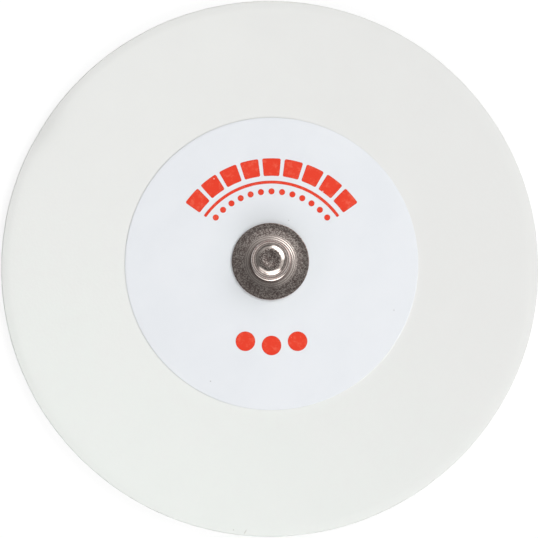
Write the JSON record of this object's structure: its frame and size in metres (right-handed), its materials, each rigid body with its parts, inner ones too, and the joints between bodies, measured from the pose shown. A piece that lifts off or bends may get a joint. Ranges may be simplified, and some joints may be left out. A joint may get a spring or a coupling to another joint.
{
  "type": "ecg electrode",
  "caption": "Round disposable foam ECG electrode with a printed film label, a metal snap stud, a coated sensor eyelet and a gel sponge.",
  "frame": {"origin": "centre of the foam pad's skin face, on the surface that the electrode lies on", "axes": "+Z out of the skin face along the snap stud, +Y to the top of the label, +X to the label's right"},
  "size_m": [0.055, 0.055, 0.0052],
  "materials": {
    "white_foam": "fine closed-cell foam, matt",
    "printed_film": "satin film with red print",
    "nickel_plate": "nickel plate, drawn and tumbled",
    "silver_coat": "silver and silver chloride coat, matt",
    "gel": "wet gel in open sponge"
  },
  "bodies": {
    "root": {"foam_pad": "white_foam", "label": "printed_film", "snap_stud": "nickel_plate", "sensor_eyelet": "silver_coat", "gel_sponge": "gel"}
  },
  "joints": []
}
